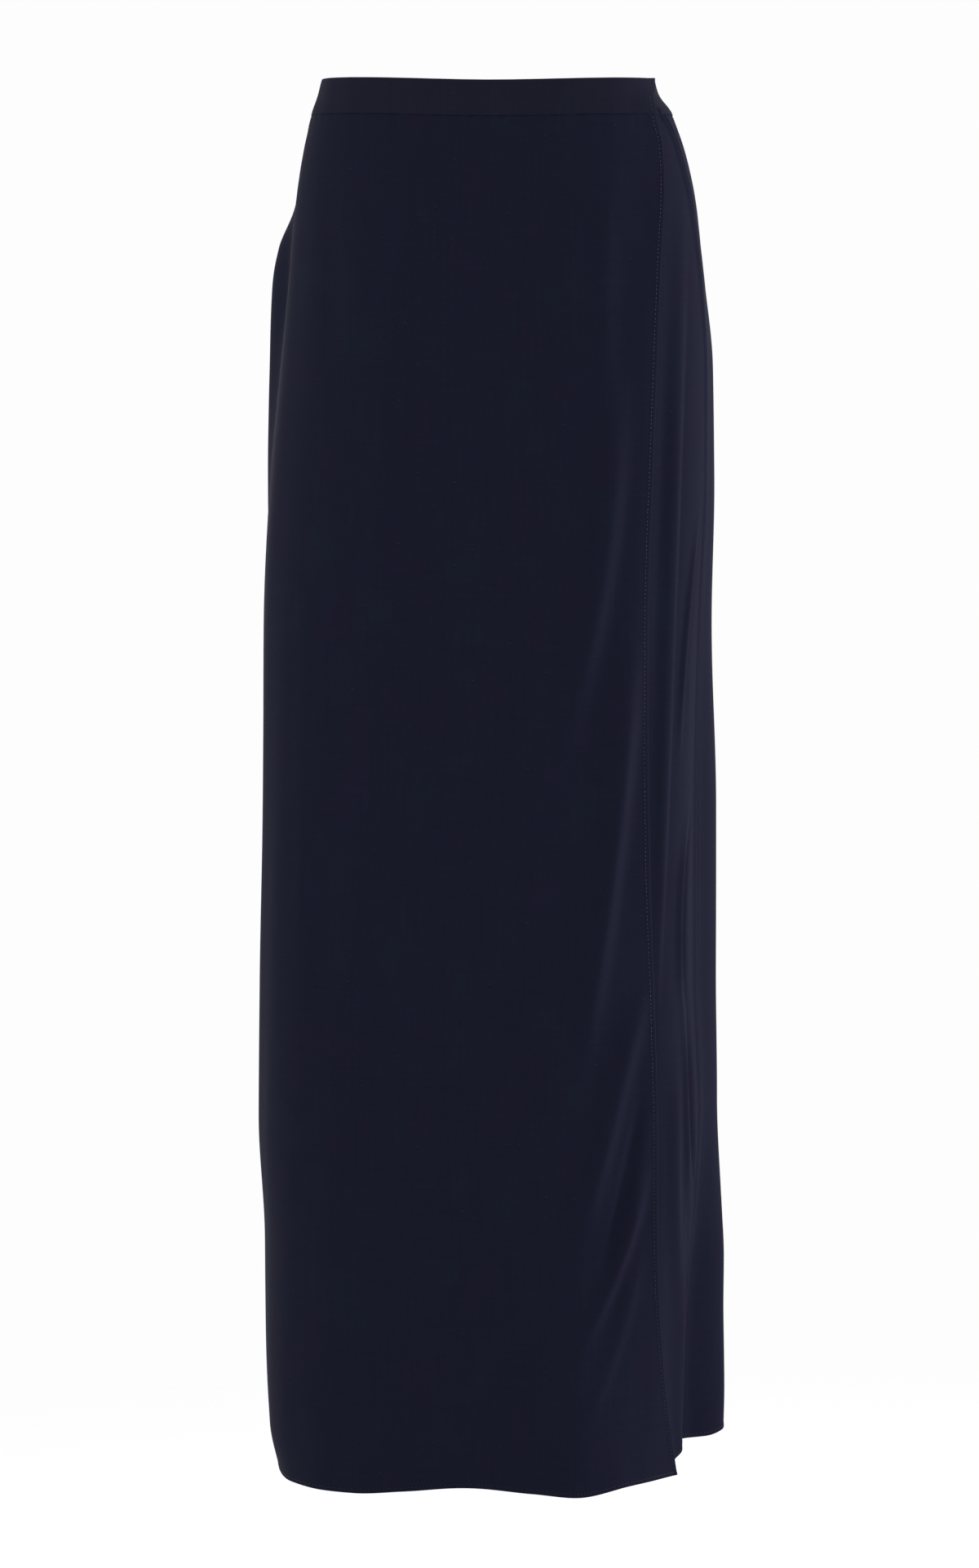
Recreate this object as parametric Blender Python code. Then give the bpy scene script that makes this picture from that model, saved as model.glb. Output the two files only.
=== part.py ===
"""Long wrap skirt in its worn, hollow shape. Metres, +Z up, the wearer faces -Y.

The origin is the centre of the waist, at the waistband's mid-height. A point on the cloth is given
by its angle round the body (0 at the front, + toward +X, in degrees) and its drop, which is how far
it lies below the band's top edge when measured down the side.
"""

import math

import bmesh
import bpy
import numpy as np

# Driving dimensions
BAND_TOP = 0.0120  # of the waistband, at the sides
BAND_HEIGHT = 0.0265
HEM_DROP = 1.018
WAIST_DIP = 0.0105  # the worn band lies lower at the front
WAIST_RISE = 0.005  # and higher at the back
CLOTH = 0.0012
BAND_THICKNESS = 0.0018  # folded cloth with its stiffening
BAND_PROUD = 0.0003  # the band's face stands out this far from the cloth below it
LAYER = 0.0025  # from the overlap's face to the face of the layer under it
SEAM_GAP = 0.0003
BAND_END = -48.0  # degrees, hidden under the overlap

# Level sections of the cloth: half widths, depths, and how far the back panel stands out past the
# side seams, in metres
SECTIONS = (
    ("drop", "left", "left_flare", "right", "right_flare", "front", "back"),
    (0.000, 0.1240, 0.000, 0.1200, 0.000, 0.088, 0.098),
    (0.010, 0.1271, 0.000, 0.1225, 0.000, 0.091, 0.101),
    (0.026, 0.1320, 0.000, 0.1320, 0.000, 0.095, 0.106),
    (0.060, 0.1395, 0.000, 0.1425, 0.001, 0.105, 0.119),
    (0.090, 0.1440, 0.005, 0.1485, 0.001, 0.112, 0.129),
    (0.120, 0.1475, 0.016, 0.1520, 0.001, 0.117, 0.136),
    (0.150, 0.1500, 0.019, 0.1550, 0.002, 0.120, 0.141),
    (0.210, 0.1555, 0.016, 0.1585, 0.005, 0.124, 0.145),
    (0.290, 0.1625, 0.010, 0.1590, 0.006, 0.126, 0.145),
    (0.400, 0.1675, 0.002, 0.1550, 0.0085, 0.127, 0.142),
    (0.540, 0.1685, 0.002, 0.1533, 0.0135, 0.128, 0.140),
    (0.660, 0.1705, 0.002, 0.1529, 0.0135, 0.129, 0.139),
    (0.760, 0.1710, 0.002, 0.1560, 0.0115, 0.130, 0.138),
    (0.850, 0.1663, 0.002, 0.1500, 0.0205, 0.132, 0.139),
    (0.930, 0.1655, 0.002, 0.1445, 0.0345, 0.134, 0.141),
    (0.985, 0.1632, 0.002, 0.1428, 0.044, 0.136, 0.142),
    (1.018, 0.1560, 0.002, 0.1430, 0.045, 0.136, 0.142),
)

# How square the section's corners are: 2 is an ellipse
CORNERS = (
    ("drop", "front_left", "front_right", "back"),
    (0.00, 2.30, 2.20, 2.30),
    (0.20, 2.40, 2.15, 2.50),
    (0.60, 2.80, 2.10, 2.70),
    (1.02, 3.30, 2.00, 2.80),
)

# The free edge of the overlap, by its distance to the right of the middle
EDGE = (
    ("drop", "across"),
    (0.000, 0.1175),
    (0.028, 0.1185),
    (0.050, 0.1230),
    (0.079, 0.1242),
    (0.130, 0.1218),
    (0.270, 0.1162),
    (0.400, 0.1120),
    (0.560, 0.1132),
    (0.740, 0.1190),
    (0.870, 0.1205),
    (0.930, 0.1232),
    (0.985, 0.1290),
    (1.018, 0.1335),
)

# The side seams, in degrees
SEAMS = (
    ("drop", "right", "left"),
    (0.026, 74.0, -90.0),
    (0.045, 77.5, -91.5),
    (0.110, 79.0, -94.0),
    (0.300, 80.0, -95.0),
    (0.760, 80.0, -95.0),
    (0.860, 83.0, -95.0),
    (0.945, 89.0, -95.0),
    (1.018, 97.0, -95.0),
)
RIGHT_FLARE_SPREAD = 18.0  # degrees that the back panel takes to stand out past the seam
LEFT_FLARE_SPREAD = 14.0
FRONT_BLEND = 50.0  # degrees over which the left front's corner turns into the right front's
SIDE_BLEND = 20.0  # and the front's into the back's
UNDER_RISE = 20.0  # degrees that the under layer takes to come out to the overlap's level
FOLD_CHANGE = 6.0  # degrees past the edge where the underlap leaves the overlap's folds for its own

# The level of each hem, round the skirt
OVERLAP_HEM = (
    ("angle", "height"),
    (-95.0, -1.0005),
    (-60.0, -1.0045),
    (-38.0, -1.0050),
    (-25.0, -1.0025),
    (-8.0, -0.9998),
    (12.0, -1.0045),
    (28.0, -1.0092),
    (45.0, -1.0055),
    (68.0, -1.0045),
)
UNDERLAP_HEM = (
    ("angle", "height"),
    (-50.0, -0.9950),
    (68.0, -0.9950),
    (97.0, -0.9885),
)
BACK_HEM = (
    ("angle", "height"),
    (97.0, -0.9885),
    (120.0, -1.0005),
    (180.0, -1.0000),
    (265.0, -1.0005),
)

# Soft folds: their run down the cloth, place in degrees, half width in degrees and height in metres
OVERLAP_FOLDS = (
    ("start", "end", "top", "middle", "bottom", "width", "height"),
    (0.190, 0.480, 42.0, 38.0, 24.0, 5.0, 0.0035),
    (0.460, 0.735, 50.0, 39.0, 25.0, 4.5, 0.0040),
    (0.665, 0.830, 55.0, 46.0, 33.0, 4.0, 0.0035),
    (0.780, 0.920, 56.0, 45.0, 25.0, 3.5, 0.0035),
    (0.830, 1.000, 54.0, 44.0, 31.0, 4.0, 0.0040),
    (0.735, 0.860, 54.0, 50.0, 42.0, 3.0, -0.0040),
    (0.205, 0.465, 29.0, 26.0, 10.0, 5.0, -0.0030),
    (0.365, 0.580, 47.0, 33.0, 24.0, 4.0, -0.0035),
    (0.060, 0.200, 37.0, 35.0, 33.0, 4.0, -0.0020),
    (0.040, 0.260, -47.0, -46.0, -46.0, 7.0, -0.0020),
)
UNDERLAP_FOLDS = (
    ("start", "end", "top", "middle", "bottom", "width", "height"),
    (0.080, 0.740, 74.0, 70.0, 60.0, 3.0, 0.0025),
    (0.520, 0.780, 77.0, 71.0, 73.0, 3.0, 0.0025),
)
BACK_FOLDS = (
    ("start", "end", "top", "middle", "bottom", "width", "height"),
    (0.300, 1.300, 118.0, 124.0, 128.0, 7.0, -0.0060),
    (0.220, 1.300, 143.0, 145.0, 146.0, 8.0, 0.0060),
    (0.340, 1.300, 165.0, 164.0, 162.0, 7.0, -0.0060),
    (0.260, 1.300, 184.0, 183.0, 182.0, 8.0, 0.0050),
    (0.380, 1.300, 203.0, 202.0, 203.0, 8.0, -0.0070),
    (0.240, 1.300, 221.0, 221.0, 223.0, 7.0, 0.0050),
    (0.420, 1.300, 240.0, 242.0, 244.0, 6.0, -0.0050),
)

# Meshes: columns across each piece, and rows down it
OVERLAP_COLUMNS = 31
COVERED_COLUMNS = 22  # of the underlap, under the overlap
SHOWN_COLUMNS = 7
BACK_COLUMNS = 30
PANEL_ROWS = 28
BAND_COLUMNS = 92
BAND_ROWS = 3
EDGE_CROWDING = 1.2  # 1 spaces the columns evenly
HIP_CROWDING = 1.15  # and the rows

NAVY = (0.0100, 0.0120, 0.0260, 1.0)
NAVY_BAND = (0.0135, 0.0135, 0.0270, 1.0)
CREPE_ROUGHNESS = 0.72


def curve(table, column, at):
    """A smooth curve through one column of a table, with no overshoot between its rows."""
    names, *rows = table
    values = np.array(rows)
    x, y = values[:, 0], values[:, names.index(column)]
    slope = np.diff(y) / np.diff(x)
    before, after = slope[:-1], slope[1:]
    level = before * after <= 0
    mean = 2 * before * after / np.where(level, 1.0, before + after)
    tangent = np.concatenate([slope[:1], np.where(level, 0.0, mean), slope[-1:]])
    at = np.clip(at, x[0], x[-1])
    i = np.clip(np.searchsorted(x, at) - 1, 0, len(x) - 2)
    step = x[i + 1] - x[i]
    t = (at - x[i]) / step
    return (
        y[i] * (1 + 2 * t) * (1 - t) ** 2
        + tangent[i] * step * t * (1 - t) ** 2
        + y[i + 1] * t * t * (3 - 2 * t)
        - tangent[i + 1] * step * t * t * (1 - t)
    )


def section(name, drop):
    return curve(SECTIONS, name, drop)


def corner(name, drop):
    return curve(CORNERS, name, drop)


def seam(side, drop):
    return curve(SEAMS, side, drop)


def ease(t):
    t = np.clip(t, 0.0, 1.0)
    return t * t * (3 - 2 * t)


def turned(angle):
    """The same direction, between -180 and 180 degrees."""
    return (angle + 180.0) % 360.0 - 180.0


def radius(angle, drop):
    """Distance of the smooth cloth from the middle: a rounded rectangle, unlike on each side."""
    angle = turned(angle)
    on_right = angle > 0
    past_right = ease((angle - seam("right", drop)) / RIGHT_FLARE_SPREAD)
    past_left = ease((seam("left", drop) - angle) / LEFT_FLARE_SPREAD)
    wide = np.where(
        on_right,
        section("right", drop) + section("right_flare", drop) * past_right,
        section("left", drop) + section("left_flare", drop) * past_left,
    )
    deep = np.where(np.abs(angle) < 90.0, section("front", drop), section("back", drop))
    to_right = ease(angle / FRONT_BLEND + 0.5)
    front = corner("front_left", drop) * (1 - to_right) + corner("front_right", drop) * to_right
    to_back = ease((np.abs(angle) - 90.0) / SIDE_BLEND + 0.5)
    square = front * (1 - to_back) + corner("back", drop) * to_back
    sine = np.abs(np.sin(np.radians(angle)))
    cosine = np.abs(np.cos(np.radians(angle)))
    return ((sine / wide) ** square + (cosine / deep) ** square) ** (-1 / square)


def folds(table, angle, drop):
    """How far the soft folds push the cloth out. Each one follows a parabola through its three places."""
    out = 0.0
    for start, end, top, middle, bottom, width, height in table[1:]:
        t = np.clip((drop - start) / (end - start), 0.0, 1.0)
        place = top * (1 - t) * (1 - 2 * t) + middle * 4 * t * (1 - t) + bottom * t * (2 * t - 1)
        out = out + height * np.sin(np.pi * t) ** 1.5 * np.exp(-(((angle - place) / width) ** 2))
    return out


def edge_angle(drop):
    """Where the overlap's free edge lies."""
    across = curve(EDGE, "across", drop)
    square = corner("front_right", drop)
    ratio = across / section("right", drop)
    ahead = section("front", drop) * (1 - ratio**square) ** (1 / square)
    return np.degrees(np.arctan2(across, ahead))


def under_depth(angle, drop):
    """How far the layer under the overlap lies in from the overlap's level, on the right side."""
    past_edge = (angle - edge_angle(drop) - 1.0) / UNDER_RISE
    return LAYER * (1 - ease(past_edge))


def level(angle, drop, hem):
    """Height of a point: the band's line at the top, a hem's line at the bottom."""
    forward = np.cos(np.radians(angle))
    top = BAND_TOP - np.where(forward > 0, WAIST_DIP, WAIST_RISE) * forward
    short = curve(hem, "height", angle) - (top - HEM_DROP)
    return top - drop + short * (drop / HEM_DROP) ** 2


def body_point(angle, drop):
    r = radius(angle, drop)
    a = np.radians(angle)
    return np.stack([r * np.sin(a), -r * np.cos(a)], axis=-1)


def cloth_point(angle, drop, out, hem):
    """Points on the cloth, moved out from the smooth form along its level normal."""
    nearby = 0.25
    along = body_point(angle + nearby, drop) - body_point(angle - nearby, drop)
    normal = np.stack([along[..., 1], -along[..., 0]], axis=-1)
    normal = normal / np.linalg.norm(normal, axis=-1, keepdims=True)
    flat = body_point(angle, drop) + normal * out[..., None]
    return np.concatenate([flat, level(angle, drop, hem)[..., None]], axis=-1)


def gap_angle(drop):
    """Half a seam's gap, as an angle."""
    return np.degrees(0.5 * SEAM_GAP / section("right", drop))


def fabric(name, colour):
    material = bpy.data.materials.new(name)
    material.use_nodes = True
    shader = material.node_tree.nodes["Principled BSDF"]
    shader.inputs["Base Color"].default_value = colour
    shader.inputs["Roughness"].default_value = CREPE_ROUGHNESS
    shader.inputs["Metallic"].default_value = 0.0
    return material


def cloth_piece(name, columns, rows, place, thickness, material, collection):
    """Two grids, the cloth's face and its back, laid by place(across, down, depth) and joined at the rim."""
    work = bmesh.new()
    bmesh.ops.create_grid(work, x_segments=columns - 1, y_segments=rows - 1, size=0.5)
    flat = np.array([vert.co[:] for vert in work.verts])
    across, down = flat[:, 0] + 0.5, 0.5 - flat[:, 1]
    rim = [edge for edge in work.edges if edge.is_boundary]
    face = list(work.verts)
    copied = bmesh.ops.duplicate(work, geom=work.verts[:] + work.edges[:] + work.faces[:])
    back = [copied["vert_map"][vert] for vert in face]
    back_rim = [copied["edge_map"][edge] for edge in rim]
    for layer, depth in ((face, 0.0), (back, thickness)):
        for vert, point in zip(layer, place(across, down, depth)):
            vert.co = point
    bmesh.ops.bridge_loops(work, edges=rim + back_rim)
    bmesh.ops.recalc_face_normals(work, faces=work.faces)
    if work.calc_volume(signed=True) < 0:
        bmesh.ops.reverse_faces(work, faces=work.faces)
    mesh = bpy.data.meshes.new(name)
    work.to_mesh(mesh)
    work.free()
    mesh.materials.append(material)
    mesh.shade_smooth()
    mesh.set_sharp_from_angle(angle=math.radians(50.0))
    piece = bpy.data.objects.new(name, mesh)
    collection.objects.link(piece)
    return piece


def panel_drop(down):
    """Rows lie closer together at the hip."""
    top = BAND_HEIGHT + SEAM_GAP
    return top + (HEM_DROP - top) * down**HIP_CROWDING


def overlap_angle(column, drop):
    """Angle of one of the overlap's columns, counted from its side seam. They crowd toward its edge."""
    first = seam("left", drop) + gap_angle(drop)
    share = 1 - (1 - column / (OVERLAP_COLUMNS - 1)) ** EDGE_CROWDING
    return first + (edge_angle(drop) - first) * share


def overlap_place(across, down, depth):
    drop = panel_drop(down)
    angle = overlap_angle(across * (OVERLAP_COLUMNS - 1), drop)
    out = folds(OVERLAP_FOLDS, angle, drop) - BAND_PROUD
    return cloth_point(angle, drop, out - depth, OVERLAP_HEM)


def underlap_place(across, down, depth):
    """Under the overlap its columns are the overlap's own, so that the two lie alike."""
    drop = panel_drop(down)
    column = across * (COVERED_COLUMNS + SHOWN_COLUMNS - 1)
    covered = column < COVERED_COLUMNS
    first = OVERLAP_COLUMNS - COVERED_COLUMNS
    under = overlap_angle(np.minimum(first + column, OVERLAP_COLUMNS - 1), drop)
    share = (column - COVERED_COLUMNS + 1) / SHOWN_COLUMNS
    last = seam("right", drop) - gap_angle(drop)
    beyond = edge_angle(drop) + (last - edge_angle(drop)) * share
    angle = np.where(covered, under, beyond)
    past = ease((angle - edge_angle(drop)) / FOLD_CHANGE)
    out = folds(OVERLAP_FOLDS, angle, drop) * (1 - past) + folds(UNDERLAP_FOLDS, angle, drop) * past
    out = out - under_depth(angle, drop) - BAND_PROUD
    return cloth_point(angle, drop, out - depth, UNDERLAP_HEM)


def back_place(across, down, depth):
    drop = panel_drop(down)
    first = seam("right", drop) + gap_angle(drop)
    last = seam("left", drop) + 360.0 - gap_angle(drop)
    angle = first + (last - first) * across
    out = folds(BACK_FOLDS, angle, drop) - under_depth(angle, drop) - BAND_PROUD
    return cloth_point(angle, drop, out - depth, BACK_HEM)


def band_place(across, down, depth):
    """The band starts at the overlap's end and goes round by the left, the back and the right."""
    drop = BAND_HEIGHT * down
    first = edge_angle(drop)
    angle = first + (BAND_END - 360.0 - first) * across
    under = under_depth(angle + 360.0, drop)
    out = -np.where(angle < -180.0, under, 0.0)
    return cloth_point(angle, drop, out - depth, OVERLAP_HEM)


def main():
    for old in list(bpy.data.objects):
        bpy.data.objects.remove(old, do_unlink=True)
    collection = bpy.data.collections.new("wrap_skirt")
    bpy.context.scene.collection.children.link(collection)
    crepe = fabric("navy_crepe", NAVY)
    band = fabric("navy_band", NAVY_BAND)
    cloth_piece(
        "front_overlap", OVERLAP_COLUMNS, PANEL_ROWS, overlap_place, CLOTH, crepe, collection
    )
    underlap_columns = COVERED_COLUMNS + SHOWN_COLUMNS
    cloth_piece(
        "front_underlap", underlap_columns, PANEL_ROWS, underlap_place, CLOTH, crepe, collection
    )
    cloth_piece("back_panel", BACK_COLUMNS, PANEL_ROWS, back_place, CLOTH, crepe, collection)
    cloth_piece(
        "waistband", BAND_COLUMNS, BAND_ROWS, band_place, BAND_THICKNESS, band, collection
    )


main()
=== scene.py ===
"""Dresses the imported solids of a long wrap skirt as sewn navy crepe, worn and hollow.

Metres, +Z up, the wearer faces -Y. A point on the cloth is given by its angle round the body (0 at
the front, + toward +X, in degrees) or by its run (how far round the body it lies, in metres from the
front middle), and by its drop (how far below the band's top edge, measured down the side).
"""

import math

import bmesh
import bpy
import numpy as np
from bpy.props import FloatProperty, FloatVectorProperty, IntProperty, PointerProperty
from bpy.types import Operator, Panel, PropertyGroup
from mathutils import Matrix, Vector


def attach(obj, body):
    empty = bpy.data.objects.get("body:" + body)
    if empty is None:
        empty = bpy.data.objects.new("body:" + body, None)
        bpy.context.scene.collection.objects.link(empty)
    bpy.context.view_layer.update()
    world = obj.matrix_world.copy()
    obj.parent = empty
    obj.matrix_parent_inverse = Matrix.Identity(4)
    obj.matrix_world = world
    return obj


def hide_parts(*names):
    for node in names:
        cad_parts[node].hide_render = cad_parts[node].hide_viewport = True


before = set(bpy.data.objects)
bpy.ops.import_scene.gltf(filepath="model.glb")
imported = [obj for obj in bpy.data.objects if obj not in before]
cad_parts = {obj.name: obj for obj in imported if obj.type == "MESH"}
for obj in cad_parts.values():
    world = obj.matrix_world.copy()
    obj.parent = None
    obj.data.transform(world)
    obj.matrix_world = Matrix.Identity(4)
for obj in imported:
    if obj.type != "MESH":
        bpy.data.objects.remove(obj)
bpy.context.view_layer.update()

bl_info = {
    "name": "Wrap skirt in navy crepe",
    "version": (1, 0, 0),
    "blender": (4, 5, 0),
    "location": "View3D > Sidebar > Wrap skirt",
    "description": "Sews a long wrap skirt over its packed solids and lights it on a plain stage",
    "category": "Object",
}

BODY = "root"

# ---------------- the skirt's form

BAND_TOP = 0.0120  # of the waistband, at the sides
BAND_HEIGHT = 0.0265
HEM_DROP = 1.018
WAIST_DIP = 0.0105  # the worn band lies lower at the front
WAIST_RISE = 0.005  # and higher at the back
BAND_THICKNESS = 0.0018
BAND_PROUD = 0.0003  # the band's face stands out this far from the cloth below it
LAYER = 0.0025  # from the overlap's face to the face of the layer under it
BAND_END = -48.0  # degrees, hidden under the overlap

# Level sections of the cloth: half widths, depths, and how far the back panel stands out past the
# side seams
SECTIONS = (
    ("drop", "left", "left_flare", "right", "right_flare", "front", "back"),
    (0.000, 0.1240, 0.000, 0.1200, 0.000, 0.088, 0.098),
    (0.010, 0.1271, 0.000, 0.1225, 0.000, 0.091, 0.101),
    (0.026, 0.1320, 0.000, 0.1320, 0.000, 0.095, 0.106),
    (0.060, 0.1395, 0.000, 0.1425, 0.001, 0.105, 0.119),
    (0.090, 0.1440, 0.005, 0.1485, 0.001, 0.112, 0.129),
    (0.120, 0.1475, 0.016, 0.1520, 0.001, 0.117, 0.136),
    (0.150, 0.1500, 0.019, 0.1550, 0.002, 0.120, 0.141),
    (0.210, 0.1555, 0.016, 0.1585, 0.0040, 0.124, 0.145),
    (0.290, 0.1625, 0.010, 0.1588, 0.0045, 0.126, 0.145),
    (0.400, 0.1675, 0.002, 0.1550, 0.0064, 0.127, 0.142),
    (0.540, 0.1685, 0.002, 0.1528, 0.0128, 0.128, 0.140),
    (0.660, 0.1705, 0.002, 0.1523, 0.0136, 0.129, 0.139),
    (0.760, 0.1710, 0.002, 0.1552, 0.0118, 0.130, 0.138),
    (0.850, 0.1663, 0.002, 0.1502, 0.0205, 0.132, 0.139),
    (0.885, 0.1660, 0.002, 0.1462, 0.0258, 0.133, 0.140),
    (0.930, 0.1655, 0.002, 0.1438, 0.0277, 0.134, 0.141),
    (0.985, 0.1632, 0.002, 0.1430, 0.0289, 0.136, 0.142),
    (1.018, 0.1560, 0.002, 0.1430, 0.0282, 0.136, 0.142),
)

# How square the section's corners are: 2 is an ellipse
CORNERS = (
    ("drop", "front_left", "front_right", "back"),
    (0.00, 2.30, 2.20, 2.30),
    (0.20, 2.40, 2.15, 2.50),
    (0.60, 2.80, 2.10, 2.70),
    (1.02, 3.30, 2.00, 2.80),
)

# The free edge of the overlap, by its distance to the right of the middle
EDGE = (
    ("drop", "across"),
    (0.000, 0.1175),
    (0.028, 0.1185),
    (0.050, 0.1230),
    (0.079, 0.1242),
    (0.130, 0.1218),
    (0.270, 0.1162),
    (0.400, 0.1120),
    (0.560, 0.1132),
    (0.740, 0.1190),
    (0.870, 0.1205),
    (0.930, 0.1240),
    (0.985, 0.1302),
    (1.018, 0.1343),
)

# and the band's end, which is pinched a little in the middle
BAND_EDGE = (
    ("drop", "across"),
    (0.0000, 0.1190),
    (0.0080, 0.1180),
    (0.0130, 0.1172),
    (0.0200, 0.1178),
    (0.0265, 0.1190),
)

# How far the free edge swings forward off the layer under it, and over what reach
SWING = (
    ("drop", "ahead", "reach"),
    (0.000, 0.0055, 0.030),
    (0.030, 0.0064, 0.034),
    (0.080, 0.0068, 0.036),
    (0.200, 0.0042, 0.036),
    (0.400, 0.0014, 0.030),
    (0.750, 0.0014, 0.030),
    (0.870, 0.0038, 0.045),
    (0.950, 0.0090, 0.055),
    (1.018, 0.0100, 0.060),
)

# The side seams, in degrees
SEAMS = (
    ("drop", "right", "left"),
    (0.026, 75.5, -90.0),
    (0.045, 78.5, -91.5),
    (0.110, 79.0, -94.0),
    (0.300, 80.0, -95.0),
    (1.018, 80.0, -95.0),
)
RIGHT_FLARE_SPREAD = 13.0  # degrees that the back panel takes to stand out past the seam
LEFT_FLARE_SPREAD = 14.0
FRONT_BLEND = 50.0  # degrees over which the left front's corner turns into the right front's
SIDE_BLEND = 20.0  # and the front's into the back's
UNDER_START = 1.0  # degrees past the free edge where the under layer starts to come out
UNDER_RISE = 20.0  # degrees that it takes to come out to the overlap's level
FOLD_CHANGE = 6.0  # degrees past the edge where the underlap leaves the overlap's folds for its own

# The level of each hem, round the skirt
OVERLAP_HEM = (
    ("angle", "height"),
    (-95, -0.9965),
    (-80, -0.9990),
    (-60, -1.0045),
    (-38, -1.0050),
    (-25, -1.0025),
    (-8, -0.9998),
    (12, -1.0045),
    (28, -1.0092),
    (45, -1.0055),
    (68, -1.0045),
)
UNDERLAP_HEM = (
    ("angle", "height"),
    (-50, -0.9950),
    (60, -0.9975),
    (68, -0.9978),
    (74, -0.9938),
    (78, -0.9882),
    (80, -0.9840),
)
BACK_HEM = (
    ("angle", "height"),
    (80, -0.9840),
    (87, -0.9845),
    (92, -0.9815),
    (98, -0.9795),
    (106, -0.9825),
    (120, -0.9895),
    (135, -0.9965),
    (180, -1.0000),
    (245, -0.9995),
    (265, -0.9965),
)

# Soft folds. Each runs from start to end down the cloth, through three places: on the front they are
# distances to the right of the middle, on the back they are degrees. Lean is how many times wider a
# fold is on its left than on its right.
FOLD = ("start", "end", "top", "middle", "bottom", "width", "lean", "height")
OVERLAP_FOLDS = (
    FOLD,
    (0.055, 0.250, 0.0830, 0.0805, 0.0800, 0.0085, 1.0, 0.0016),
    (0.190, 0.520, 0.0890, 0.0775, 0.0380, 0.0105, 1.5, 0.0062),
    (0.380, 0.750, 0.1018, 0.0845, 0.0555, 0.0095, 1.6, 0.0078),
    (0.640, 0.850, 0.1120, 0.0860, 0.0560, 0.0095, 1.2, 0.0068),
    (0.715, 0.885, 0.1110, 0.0965, 0.0750, 0.0055, 1.0, -0.0040),
    (0.775, 0.925, 0.1110, 0.0920, 0.0530, 0.0076, 1.2, 0.0062),
    (0.835, 0.980, 0.1080, 0.0915, 0.0580, 0.0070, 1.3, 0.0026),
    (0.040, 0.260, -0.1160, -0.1135, -0.1110, 0.0120, 1.0, -0.0016),
    (0.100, 0.200, 0.0580, 0.0550, 0.0510, 0.0070, 1.0, 0.0006),
    (0.300, 0.640, 0.0300, 0.0240, 0.0060, 0.0140, 1.5, 0.0009),
    (0.560, 0.900, 0.0240, 0.0100, -0.0200, 0.0150, 1.5, 0.0009),
    (0.260, 0.760, -0.1330, -0.1360, -0.1340, 0.0080, 1.0, 0.0010),
)
UNDERLAP_FOLDS = (
    FOLD,
    (0.060, 0.740, 0.1405, 0.1293, 0.1143, 0.0052, 2.0, 0.0050),
    (0.080, 0.750, 0.1432, 0.1319, 0.1167, 0.0018, 1.8, 0.0014),
    (0.300, 0.510, 0.1525, 0.1415, 0.1362, 0.0026, 1.5, 0.0026),
    (0.520, 0.700, 0.1454, 0.1367, 0.1404, 0.0026, 1.8, 0.0026),
    (0.660, 0.840, 0.1384, 0.1421, 0.1444, 0.0026, 1.8, 0.0024),
    (0.520, 0.700, 0.1480, 0.1393, 0.1430, 0.0045, 0.25, -0.0024),
    (0.660, 0.840, 0.1409, 0.1447, 0.1470, 0.0045, 0.25, -0.0022),
    (0.690, 0.920, 0.1350, 0.1350, 0.1370, 0.0060, 1.6, 0.0024),
    (0.800, 1.180, 0.1400, 0.1385, 0.1380, 0.0040, 3.0, 0.0036),
)
BACK_FOLDS = (
    FOLD,
    (0.300, 1.300, 118, 124, 128, 0.0190, 1, -0.0060),
    (0.220, 1.300, 143, 145, 146, 0.0200, 1, 0.0060),
    (0.340, 1.300, 165, 164, 162, 0.0170, 1, -0.0060),
    (0.260, 1.300, 184, 183, 182, 0.0200, 1, 0.0050),
    (0.380, 1.300, 203, 202, 203, 0.0190, 1, -0.0070),
    (0.240, 1.300, 221, 221, 223, 0.0180, 1, 0.0050),
    (0.420, 1.300, 240, 242, 244, 0.0150, 1, -0.0050),
    (0.130, 0.520, 132, 128, 121, 0.0090, 1, 0.0016),
    (0.160, 0.640, 156, 153, 149, 0.0100, 1, -0.0018),
    (0.110, 0.430, 176, 175, 171, 0.0080, 1, 0.0014),
    (0.200, 0.700, 194, 194, 196, 0.0090, 1, -0.0016),
    (0.140, 0.560, 210, 213, 217, 0.0090, 1, 0.0016),
    (0.560, 1.240, 174, 172, 169, 0.0080, 1, 0.0018),
    (0.620, 1.260, 232, 233, 236, 0.0090, 1, 0.0018),
)

# Slow waves that run down every panel, so that no stretch is quite flat
DRIFTS = (
    ("across", "down", "phase", "height"),
    (0.061, 0.83, 0.4, 0.00030),
    (0.093, -1.10, 2.1, 0.00040),
    (0.038, 0.52, 4.6, 0.00016),
    (0.150, -0.71, 1.3, 0.00050),
)

FOLD_DIP = (0.28, 2.3)  # how deep the dip beside a fold is, and how wide, against the fold itself
FOLD_ENDS = 0.38  # the share of a fold's length over which it grows at each end
DRIFTS_GROW = 0.12  # the length below the band over which the slow waves grow


def curve(table, column, at):
    """A smooth curve through one column of a table, with no overshoot between its rows."""
    names, *rows = table
    values = np.array(rows)
    x, y = values[:, 0], values[:, names.index(column)]
    slope = np.diff(y) / np.diff(x)
    before, after = slope[:-1], slope[1:]
    level = before * after <= 0
    mean = 2 * before * after / np.where(level, 1.0, before + after)
    tangent = np.concatenate([slope[:1], np.where(level, 0.0, mean), slope[-1:]])
    at = np.clip(at, x[0], x[-1])
    i = np.clip(np.searchsorted(x, at) - 1, 0, len(x) - 2)
    step = x[i + 1] - x[i]
    t = (at - x[i]) / step
    return (
        y[i] * (1 + 2 * t) * (1 - t) ** 2
        + tangent[i] * step * t * (1 - t) ** 2
        + y[i + 1] * t * t * (3 - 2 * t)
        - tangent[i + 1] * step * t * t * (1 - t)
    )


def section(name, drop):
    return curve(SECTIONS, name, drop)


def corner(name, drop):
    return curve(CORNERS, name, drop)


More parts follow.
